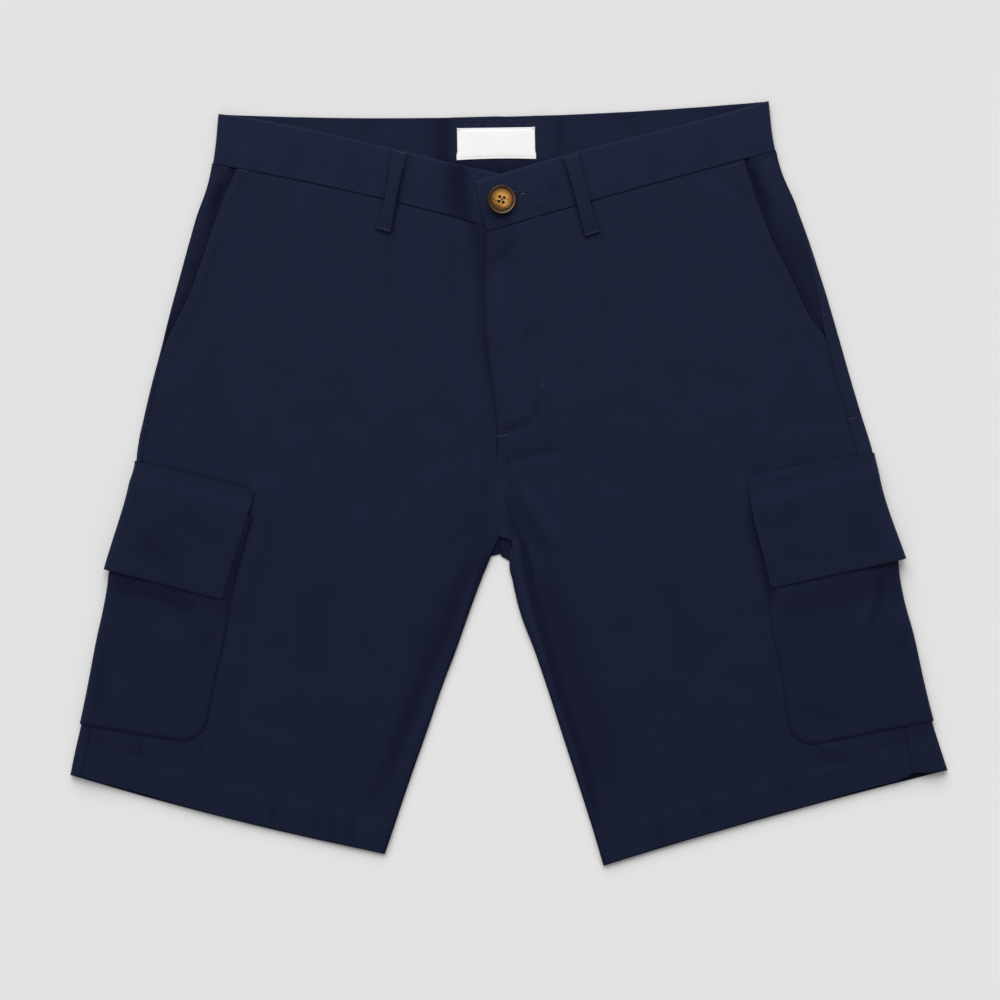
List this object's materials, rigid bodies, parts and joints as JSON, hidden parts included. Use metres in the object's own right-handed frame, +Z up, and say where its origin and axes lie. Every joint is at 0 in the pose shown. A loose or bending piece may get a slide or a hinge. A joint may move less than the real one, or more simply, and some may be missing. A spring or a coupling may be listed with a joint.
{
  "type": "cargo shorts",
  "caption": "Men's knee-length cargo shorts laid flat, with a buttoned waistband, front belt loops, slant pockets and a flapped patch pocket on each leg.",
  "frame": {"origin": "on the floor, under the middle of the garment's outline", "axes": "+X to the wearer's left, +Y from the hems towards the waist, +Z up from the floor through the back to the front"},
  "size_m": [0.6632, 0.5772, 0.0131],
  "materials": {
    "navy_twill": "matte",
    "navy_facing": "matte",
    "white_label": "matte",
    "brown_horn": "glossy"
  },
  "bodies": {
    "root": {"front_panel_right": "navy_twill", "front_panel_left": "navy_twill", "back_panel_right": "navy_twill", "back_panel_left": "navy_twill", "hip_facing_right": "navy_facing", "hip_facing_left": "navy_facing", "cargo_pocket_right": "navy_twill", "cargo_pocket_left": "navy_twill", "cargo_flap_right": "navy_twill", "cargo_flap_left": "navy_twill", "waistband": "navy_twill", "belt_loop_right": "navy_twill", "belt_loop_left": "navy_twill", "waist_button": "brown_horn", "waist_label": "white_label"}
  },
  "joints": []
}
